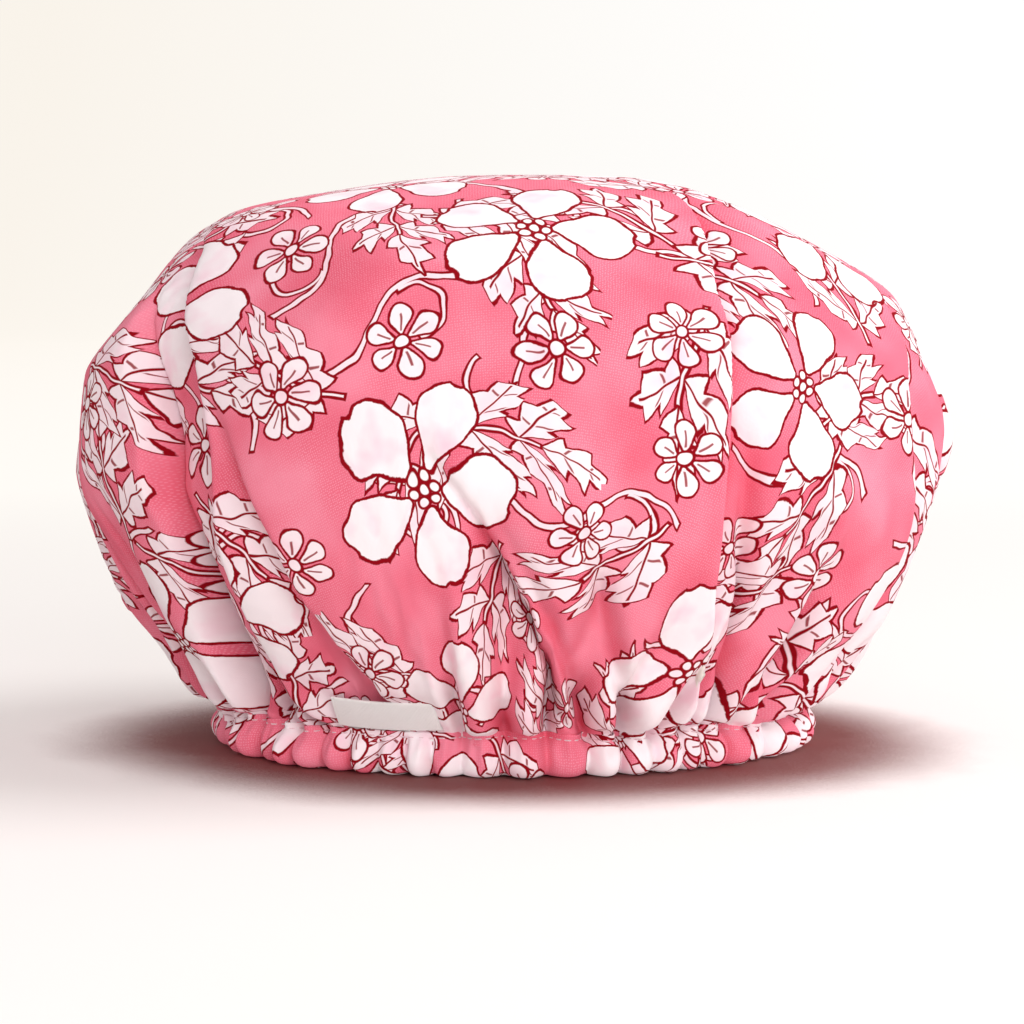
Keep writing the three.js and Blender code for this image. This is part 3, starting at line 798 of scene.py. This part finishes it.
# Curling stems: a double line in a lazy S, with a tendril.
x, y = hand_drawn("curls")
centre_line = y - (x * 0.11).sin() * 7
stem = (centre_line.abs() - 1.1).most(x.abs() - 27)
ring = (length(x - 12, y + 2) - 7.5).abs() - 0.8
ring = ring.most(-x + 9)
body = stem.least(ring) + edge_play * 0.4
fill, ink = drawn(body, 0.36)
layers.append((fill, ink, 0.55))


tooth_length, tooth_rise, tooth_depth, tooth_slant = 7.8, 0.68, 2.5, 0.7


def leafy(name, pitch, pairs, longest, lean, width, bend):
    """A bent stem with toothed leaves in pairs and one at its tip."""
    x, y = hand_drawn(name)
    x = x + (pairs * pitch + longest * 0.6) / 2
    y = y - (x * x) * bend
    s, c = math.sin(math.radians(lean)), math.cos(math.radians(lean))
    far = y.abs()

    # Each pair leans forward, so a place on a leaf is told by the slanted strip that it is in.
    slant = x - far * (c / s)
    number = (slant / pitch).floor().most(0).least(pairs - 1)
    across = (slant - (number + 0.5) * pitch) * s
    along = far / s
    size = (number * -0.13 + 1) * longest
    blade = leaf(along, across, size, width)
    tip = leaf(x - pairs * pitch + 1, y, longest * 0.9, width)
    at_tip = (tip - blade).below(0, 0.01)
    blade = blade.least(tip)
    run_along = along + (x - pairs * pitch - along) * at_tip
    run_across = across + (y - across) * at_tip

    # The edge is cut into teeth that point forward, and a rib runs out to each.
    teeth = (run_along - run_across.abs() * tooth_slant) / tooth_length
    tooth = (teeth + 0.3).part()
    tooth = (tooth / tooth_rise).least((-tooth + 1) / (1 - tooth_rise))
    blade = blade + (-tooth + 0.75) * tooth_depth + edge_play
    stalk = (y.abs() - 0.75).most(-x).most(x - pairs * pitch)
    both = blade.least(stalk)
    fill, ink = drawn(both, 0.42)
    vein = run_across.abs().below(0.3, line_blur) * (run_along - size * 0.85).below(0, 0.3)
    ribs = (teeth + 0.64).part() - 0.5
    ribs = ribs.abs().below(0.05, 0.04) * blade.below(-0.9, 0.3) * (-(run_across.abs())).below(-0.6, 0.3)
    marks = (vein + ribs * 0.9) * blade.below(-0.3, 0.2)
    return fill, ink.most(marks), 0.35


layers.append(leafy("fronds", 14.0, 2, 21.0, 50, 0.27, 0.007))
layers.append(leafy("sprays", 15.0, 2, 24.0, 46, 0.26, -0.008))

# Daisies: six small petals, each with one vein, round a button.
x, y = hand_drawn("daisies")
px, py, radius = around_centre(x, y, 6)
head = petal(px, py, 3.0, 7.6, 0.8, 3.1) + edge_play * 0.6
button = radius - 2.1
fill, ink = drawn(head.least(button), 0.37)
vein = py.abs().below(0.28, line_blur) * ((px - 5.6).abs() - 2.2).below(0, 0.3)
ink = ink.most(vein * 0.9).most(button.abs().below(0.38, line_blur))
layers.append((fill, ink, 0.2))

# Blossoms: five broad petals with a notch, round a ring of dots.
x, y = hand_drawn("blossoms")
px, py, radius = around_centre(x, y, 5)
head = petal(px, py, 6.0, 18.4, 1.6, 8.6)
notch = length(px - 29.2, py) - 3.1
head = head.most(-notch)
head = head + edge_play
fill, ink = drawn(head)
dx, dy, _ = around_centre(x, y, 6)
dots = length(dx - 3.1, dy) - 1.45
dots = dots.least(radius - 1.5)
ink = ink * dots.below(0, 0.1) * -1 + ink
fill = fill.most(dots.below(0, line_blur))
ink = ink.most(dots.abs().below(0.36, line_blur))
layers.append((fill, ink, 0.0))

# The ground: pink, uneven in tone, with fine pale dots.
pink = colour_ramp(tree, noise(tree, cloth_map, 0.03, 2.0), (0.3, colour(233, 102, 126)),
                   (0.52, colour(239, 119, 142)), (0.72, colour(244, 138, 160)))
dots = add_node(tree, "TexVoronoi", voronoi_dimensions="2D")
dots.inputs["Scale"].default_value = 1.3
dots.inputs["Randomness"].default_value = 0.35
tree.links.new(cloth_map, dots.inputs["Vector"])
speckle = Wire(tree, dots.outputs["Distance"]).below(0.27, 0.12)
speckle = speckle * Wire(tree, noise(tree, cloth_map, 0.05, 1.0)) * 0.45
paint = mixed(tree, speckle.socket, pink, colour(255, 196, 212))
petal_blush, leaf_pink, dark_red = colour(252, 212, 226), colour(252, 214, 226), colour(142, 4, 20)
blush = (Wire(tree, noise(tree, cloth_map, 0.07, 2.0)) - 0.5) * 3.0
petal_white = mixed(tree, blush.socket, colour(254, 243, 247), petal_blush)
for fill, ink, pinkness in layers:
    white = mixed(tree, pinkness, petal_white, leaf_pink)
    paint = mixed(tree, fill.socket, paint, white)
    paint = mixed(tree, ink.socket, paint, dark_red)
tree.links.new(paint, result.inputs["Color"])


# Cotton's own surface: a plain weave and the faint rumples that a hand leaves.
cotton_surface, given, result = new_group(
    "cotton_surface", [("Height", "NodeSocketFloat"), ("Roughness", "NodeSocketFloat")],
    [("Thread", "NodeSocketFloat", 0.5), ("Rumple", "NodeSocketFloat", 1.0)])
tree = cotton_surface
cloth_map = own_map(tree, "cloth")
x, y = split(tree, cloth_map)
thread = Wire(tree, given.outputs["Thread"])
weave = (x * (2 * math.pi) / thread).sin() * (y * (2 * math.pi) / thread).sin()
rumple = Wire(tree, noise(tree, cloth_map, 0.09, 4.0)) * Wire(tree, given.outputs["Rumple"])
height = weave * 0.03 + rumple
tree.links.new(height.socket, result.inputs["Height"])
tree.links.new((weave * 0.05 + 0.82).socket, result.inputs["Roughness"])


def placed_group(tree, group, **values):
    node = tree.nodes.new("ShaderNodeGroup")
    node.node_tree = group
    for name, value in values.items():
        node.inputs[name].default_value = value
    return node


def cotton_finish(name, rumple):
    material, tree = new_material(name)
    pattern = placed_group(tree, flower_print)
    surface = placed_group(tree, cotton_surface, Thread=0.5, Rumple=rumple)
    cotton = add_surface(tree, pattern.outputs["Color"], 0.8, surface.outputs["Height"], 0.5, 0.6)
    cotton.inputs["Specular IOR Level"].default_value = 0.08
    tree.links.new(surface.outputs["Roughness"], cotton.inputs["Roughness"])
    return material


shell_data.materials.append(cotton_finish("printed_cotton", 1.4))
for spare in (flat_data, disc_data):
    bpy.data.meshes.remove(spare)
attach(shell, "cap")
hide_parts("outer_shell")


# waterproof lining
# A second circle, of soft laminate, lies just inside the printed one and is gathered
# with it. Its coated side is turned to the hair.

lining_gap = 0.9 * MM
lining_points = shell_points - normals_of(shell_data) * lining_gap
lining = mesh_object("inner_lining", lining_points, corners_of(shell_data).reshape(-1, 4)[:, ::-1].tolist())
lay_cloth(lining.data, shell_disc)

lining_finish, tree = new_material("waterproof_lining")
surface = placed_group(tree, cotton_surface, Thread=0.8, Rumple=2.2)
tint = colour_ramp(tree, noise(tree, own_map(tree, "cloth"), 0.05, 3.0), (0.35, colour(238, 233, 224)),
                   (0.7, colour(248, 245, 239)))
laminate = add_surface(tree, tint, 0.38, surface.outputs["Height"], 0.4, 0.5)
laminate.inputs["Coat Weight"].default_value = 0.15
laminate.inputs["Coat Roughness"].default_value = 0.3
lining.data.materials.append(lining_finish)
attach(lining, "cap")
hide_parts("lining")


# elastic band
# A 7 mm band of braided elastic runs once round the hem. Its end laps over its start
# behind, where a zigzag bar of thread joins the two.

elastic_low, elastic_high, elastic_half = 1.3, 8.3, 0.5
lap_length, lap_ramp, lap_step = 22.0, 26.0, 1.3


def oval_point(angle, out, z):
    """A place in the hem: out from the elastic's oval and up, both in millimetres."""
    angle, out, z = np.broadcast_arrays(angle, out, z)
    return np.stack([(mouth_half_width + out * MM) * np.cos(angle),
                     (mouth_half_depth + out * MM) * np.sin(angle), z * MM], -1)


def grid_faces(rows, columns, closed=False):
    """Quads of a grid whose points run along its rows; closed joins the last column to the first."""
    faces = []
    for i in range(rows - 1):
        for j in range(columns if closed else columns - 1):
            k = (j + 1) % columns
            faces.append((i * columns + j, i * columns + k, (i + 1) * columns + k, (i + 1) * columns + j))
    return faces


ramp_angle = lap_ramp * MM / mouth_half_width
lap_angle = lap_length * MM / mouth_half_width
band_turn = np.linspace(0, 2 * math.pi + lap_angle, 460)
lapped = ((band_turn - 2 * math.pi + ramp_angle) / (ramp_angle * 0.4)).clip(0, 1)
lapped = eased(lapped) * -lap_step
band_z = np.concatenate([np.linspace(0.12, 0.88, 15), [0.96, 1.0, 1.0, 0.96],
                         np.linspace(0.88, 0.12, 15), [0.04, 0, 0, 0.04]])
band_side = np.concatenate([np.full(15, 1.0), [0.85, 0.4, -0.4, -0.85], np.full(15, -1.0),
                            [-0.85, -0.4, 0.4, 0.85]])
braid = 0.9 + 0.1 * np.abs(np.sin(band_z * 7 * math.pi))
band_points = oval_point(math.pi / 2 + band_turn[:, None],
                         lapped[:, None] + (band_side * braid * elastic_half)[None],
                         (elastic_low + band_z * (elastic_high - elastic_low))[None]).reshape(-1, 3)
around_count = len(band_z)
band_faces = grid_faces(len(band_turn), around_count, closed=True)
last_point = len(band_points) - 1
band_faces += [tuple(range(around_count)), tuple(range(last_point, last_point - around_count, -1))]
elastic = mesh_object("braided_elastic", band_points, band_faces)
bm = bmesh.new()
bm.from_mesh(elastic.data)
bmesh.ops.recalc_face_normals(bm, faces=bm.faces)
bm.to_mesh(elastic.data)
bm.free()
elastic_map = elastic.data.uv_layers.new(name="cloth")
band_run = np.repeat(band_turn * seam_radius_mm, around_count)
band_across = np.tile(band_z * (elastic_high - elastic_low), len(band_turn))
corners = corners_of(elastic.data)
elastic_map.data.foreach_set("uv", np.stack([band_run[corners], band_across[corners]], 1).ravel())

elastic_finish, tree = new_material("braided_elastic")
x, y = split(tree, own_map(tree, "cloth"))
strand = ((x * 1.1 + (y * math.pi).sin().abs() * 1.2) * (2 * math.pi)).sin()
# The colour is darker down between the strands, where the bump is low: painted shade in the braid's
# grooves.
tint = colour_ramp(tree, (strand * 0.5 + 0.5).socket, (0, colour(214, 210, 202)),
                   (1, colour(247, 245, 240)))
add_surface(tree, tint, 0.8, strand.socket, 0.25)
elastic.data.materials.append(elastic_finish)
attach(elastic, "cap")
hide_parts("elastic_band")


# Sewing thread shows as single stitches, each of which rises from the cloth and dips again.

def stitch_mesh(paths, thickness):
    """Tubes of six sides along the given short paths, tapered where they enter the cloth."""
    points, faces = [], []
    for path in paths:
        path = np.asarray(path)
        along = np.gradient(path, axis=0)
        along /= np.linalg.norm(along, axis=1)[:, None]
        across = np.cross(along, [0, 0, 1.0])
        across /= np.linalg.norm(across, axis=1)[:, None]
        up = np.cross(across, along)
        first = len(points)
        for k, (p, a, u) in enumerate(zip(path, across, up)):
            wide = thickness / 2 * (0.6 if k in (0, len(path) - 1) else 1)
            for t in np.arange(6) * math.pi / 3:
                points.append(p + wide * (math.cos(t) * a + math.sin(t) * u))
        faces += [tuple(first + i for i in f) for f in grid_faces(len(path), 6, closed=True)]
        last = first + 6 * (len(path) - 1)
        faces += [tuple(range(first, first + 6)), tuple(range(last + 5, last - 1, -1))]
    return points, faces


def thread_finish(name, tint):
    material, tree = new_material(name)
    place = add_node(tree, "TexCoord")
    twist = add_node(tree, "TexWave", wave_type="BANDS", bands_direction="DIAGONAL")
    twist.inputs["Scale"].default_value = 900
    tree.links.new(place.outputs["Object"], twist.inputs["Vector"])
    # The thread is darker in the twist's grooves, where the bump is low: painted shade.
    shade = colour_ramp(tree, twist.outputs["Fac"], (0, [c * 0.8 for c in tint[:3]] + [1]), (1, tint))
    fibre = add_surface(tree, shade, 0.5, twist.outputs["Fac"], 0.06)
    fibre.inputs["Sheen Weight"].default_value = 0.2
    return material


join_middle = math.pi / 2 + lap_angle / 2
join_out = -elastic_half - lap_step - elastic_half - 0.15
zigzag = [(join_middle + (k / 7 - 0.5) * lap_angle * 0.82, elastic_low + (0.9 if k % 2 else 6.1))
          for k in range(8)]
join_paths = []
for (a0, z0), (a1, z1) in zip(zigzag, zigzag[1:]):
    t = np.linspace(0.03, 0.97, 6)
    out = join_out - 0.12 * np.sin(math.pi * t)
    join_paths.append(oval_point(a0 + (a1 - a0) * t, out, z0 + (z1 - z0) * t))
join_stitch = mesh_object("join_stitches", *stitch_mesh(join_paths, 0.45 * MM))
join_stitch.data.materials.append(thread_finish("bar_tack_thread", colour(240, 236, 228)))
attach(join_stitch, "cap")
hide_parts("elastic_join_stitch")


# hem casing
# A strip of the same cotton is folded lengthwise round the elastic, both its edges
# turned in, and topstitched over the shell's raw edge. It swells between the gathers.

stitch_height = 11.5
columns = puff_count * 12 + 1
hem_angle = math.pi / 2 + np.linspace(0, 2 * math.pi, columns)
wave = hem_wave(hem_angle) / MM
crest = hem_puff(hem_angle, 0.5)
hollow = np.abs(np.cos(puff_count / 2 * hem_angle + hem_drift(hem_angle))) ** 0.62
size_play = (1 + 0.3 * np.sin(5 * hem_angle + 0.7) * np.sin(11 * hem_angle + 2)
             + 0.14 * np.sin(23 * hem_angle))
behind = np.exp(-((np.abs((hem_angle - join_middle + math.pi) % (2 * math.pi) - math.pi)) / 0.55) ** 4)
crease = np.sin(puff_count * 2.5 * hem_angle + 3 * np.sin(7 * hem_angle)) * 0.6


def hem_row(out, z):
    return np.broadcast_to(out, hem_angle.shape), np.broadcast_to(z, hem_angle.shape)


bulge = crest * size_play
inner_bulge = hollow * size_play
inside = -(0.95 + 1.9 * behind)

# The strip's rows, from its inner edge over the seam, down the outside and up the inside,
# each by how far it stands out from the elastic's oval and how high it is, in millimetres.
hem_rows = [
    hem_row(wave + 0.45, 9.4), hem_row(wave + 0.45, 11.2), hem_row(wave + 0.5, 12.8),
    hem_row(wave + 0.9, 13.35 + 0.25 * crease), hem_row(wave + 1.35, 12.9 + 0.2 * crease),
    hem_row(wave + 1.15, 12.2), hem_row(wave + 0.85, 11.55),
    hem_row(0.4 * wave + 0.9 + 2.6 * bulge + crease, 10.7),
    hem_row(1.0 + 4.8 * bulge + crease, 9.1), hem_row(1.0 + 6.3 * bulge + 0.9 * crease, 7.1),
    hem_row(1.0 + 7.0 * bulge + 0.5 * crease, 5.0 + 1.2 * (1 - crest)),
    hem_row(1.0 + 6.7 * bulge, 3.0 + 2.2 * (1 - crest)),
    hem_row(0.95 + 5.6 * bulge, 1.2 + 2.8 * (1 - crest)),
    hem_row(0.8 + 3.2 * bulge, 0.2 + 2.0 * (1 - crest)),
    hem_row(0.1 + 0.4 * bulge, 0.05 + 0.75 * (1 - crest)),
    hem_row(inside * 0.8 - 0.8 * inner_bulge, 0.15 + 0.6 * (1 - crest)),
    hem_row(inside - 1.7 * inner_bulge, 1.6), hem_row(inside - 2.3 * inner_bulge, 4.0),
    hem_row(inside - 2.4 * inner_bulge, 6.4), hem_row(inside * 0.9 - 2.0 * inner_bulge + 0.3 * crease, 8.8),
    hem_row(np.minimum(0.4 * wave - 1.6 - 0.9 * inner_bulge, inside * 0.6), 10.4),
    hem_row(wave - 1.85, 11.55), hem_row(wave - 2.1, 12.3), hem_row(wave - 2.2, 12.9),
    hem_row(wave - 1.8, 13.3), hem_row(wave - 1.4, 12.8), hem_row(wave - 1.35, 11.2),
    hem_row(wave - 1.35, 9.4),
]
wander = hem_rise(hem_angle)
hem_points = np.stack([oval_point(hem_angle, out, z + wander * ((z - 7) / 4.5).clip(0, 1))
                       for out, z in hem_rows])
step_down = np.linalg.norm(np.diff(hem_points, axis=0), axis=2).mean(1)
strip_across = np.append(0, np.cumsum(step_down))
step_along = np.linalg.norm(np.diff(hem_points[6:12], axis=1), axis=2).mean(0)
strip_along = np.append(0, np.cumsum(step_along))
strip_flat = np.stack([*np.meshgrid(strip_along, strip_across), np.zeros(hem_points.shape[:2])], 2)
strip_faces = [f[::-1] for f in grid_faces(len(hem_rows), columns)]
casing_data = subdivided(hem_points.reshape(-1, 3), strip_faces)
strip_data = subdivided(strip_flat.reshape(-1, 3), strip_faces)
casing = piece_of("hem_strip", casing_data)
strip_points = points_of(strip_data)
strip_size = (strip_along[-1], strip_across[-1])
strip_draw = np.random.default_rng(40)
field_count, past_edge = 5000, 0.04
wide_field = np.column_stack([strip_draw.uniform(-past_edge, strip_size[0] + past_edge, field_count),
                              strip_draw.uniform(-past_edge, strip_size[1] + past_edge, field_count),
                              np.zeros(field_count)])
upwards = np.tile([0, 0, 1.0], (field_count, 1))
lay_cloth(casing_data, strip_points)
print_on(casing_data, strip_points, wide_field, upwards, 23)
bpy.data.meshes.remove(strip_data)
casing_data.materials.append(cotton_finish("casing_cotton", 0.8))
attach(casing, "cap")
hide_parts("hem_casing")


# topstitching
# One row of pale pink thread holds the casing: needle thread outside, bobbin inside.

stitch_length, stitch_gap, thread_thickness = 2.4, 0.7, 0.42


def sewn_row(name, node, surface_out, facing):
    fine = np.linspace(0, 2 * math.pi, 9000)
    line = oval_point(fine, hem_wave(fine) / MM + surface_out, stitch_height + hem_rise(fine))
    walked = np.append(0, np.cumsum(np.linalg.norm(np.diff(line, axis=0), axis=1))) / MM
    count = int(walked[-1] // (stitch_length + stitch_gap))
    paths = []
    for k in range(count):
        begin = k * walked[-1] / count
        t = np.linspace(0, 1, 5)
        at = np.interp(begin + t * stitch_length, walked, fine)
        rise = facing * (-0.22 + 0.42 * np.sin(math.pi * t) ** 0.6)
        paths.append(oval_point(at, hem_wave(at) / MM + surface_out + rise, stitch_height + hem_rise(at)))
    row = mesh_object(name, *stitch_mesh(paths, thread_thickness * MM))
    row.data.materials.append(sewing_thread)
    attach(row, "cap")
    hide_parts(node)
    return row


sewing_thread = thread_finish("sewing_thread", colour(246, 214, 222))
sewn_row("needle_stitches", "needle_thread", 0.85, 1)
sewn_row("bobbin_stitches", "bobbin_thread", -1.85, -1)


# label
# A tab of white woven tape, folded at its top edge. Its two ends are caught in the
# casing's seam, left of the front's middle, and it lies flipped up against the shell.

tape_ply, tape_slit, tape_sag = 0.28, 0.17, 1.0
tape_u = np.linspace(-label_width / 2, label_width / 2, 33)
bow = -tape_sag * (tape_u / label_width * 2) ** 2
fold_turn = np.linspace(0, math.pi, 9)[1:-1]
fold_radius = tape_slit + tape_ply / 2
straight = label_height - fold_radius - tape_ply / 2
ply_up = np.linspace(0, straight, 9)
section_up = np.concatenate([ply_up, straight + fold_radius * np.sin(fold_turn), ply_up[::-1]])
section_out = np.concatenate([np.full(9, fold_radius) + 0.16 * np.sin(math.pi * ply_up / straight),
                              fold_radius * np.cos(fold_turn), np.full(9, -fold_radius)])


def tape_place(u, up, out):
    steps = u[..., None] * label_across + up[..., None] * label_up + out[..., None] * label_out
    return label_foot + MM * steps


u, up = np.meshgrid(tape_u, section_up)
out_of = section_out[:, None] + bow[None] + 0.25 * (u / 16) * (up / 10)
tape_points = tape_place(u, up, out_of).reshape(-1, 3)
label = mesh_object("tape_label", tape_points, grid_faces(len(section_up), len(tape_u)))


def finish_tape(piece, columns):
    """Lays the tape's own map on it, in millimetres, and gives it its thickness."""
    steps = np.linalg.norm(np.diff(points_of(piece.data)[::columns], axis=0), axis=1)
    along = np.append(0, np.cumsum(steps))
    flat = np.array([(x, y / MM) for y in along for x in tape_u])
    piece.data.uv_layers.new(name="cloth").data.foreach_set("uv", flat[corners_of(piece.data)].ravel())
    piece.data.materials.append(label_tape)
    thick = piece.modifiers.new("ply", "SOLIDIFY")
    thick.thickness, thick.offset = tape_ply * MM, 0
    clear_selection()
    piece.select_set(True)
    bpy.context.view_layer.objects.active = piece
    bpy.ops.object.modifier_apply(modifier="ply")
    bpy.ops.object.mode_set(mode="EDIT")
    bpy.ops.mesh.select_all(action="SELECT")
    bpy.ops.mesh.normals_make_consistent(inside=False)
    bpy.ops.object.mode_set(mode="OBJECT")
    bpy.ops.object.shade_smooth_by_angle(angle=math.radians(50))


label_tape, tree = new_material("label_tape")
x, y = split(tree, own_map(tree, "cloth"))
satin = (x * (2 * math.pi / 0.42)).sin() * 0.5 + (y * (2 * math.pi / 0.3)).sin() * 0.3
selvedge = (x.abs() - 15.2).below(0, 0.3)
# The tape is a little darker where the weave's bump is low: painted shade.
tint = colour_ramp(tree, (satin * 0.4 + 0.6).socket, (0, colour(243, 242, 240)), (1, colour(253, 253, 252)))
weave = add_surface(tree, tint, 0.42, (satin + selvedge * 1.5).socket, 0.12, 0.7)
weave.inputs["Sheen Weight"].default_value = 0.2
finish_tape(label, len(tape_u))

# Its ends go over the casing's edge and down into the seam, and stay there as it flips.
end_line = tape_place(tape_u, np.zeros(33), bow)
end_angle = np.arctan2(end_line[:, 1] / mouth_half_depth, end_line[:, 0] / mouth_half_width)
end_rows = [end_line] + [oval_point(end_angle, out, z) for out, z in
                         ((4.25, 13.95), (3.4, 13.85), (2.95, 13.5), (2.85, 12.6), (2.85, 10.5))]
label_ends = mesh_object("label_ends", np.concatenate(end_rows), grid_faces(len(end_rows), len(tape_u)))
finish_tape(label_ends, len(tape_u))
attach(label, "label")
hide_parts("label")
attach(label_ends, "cap")
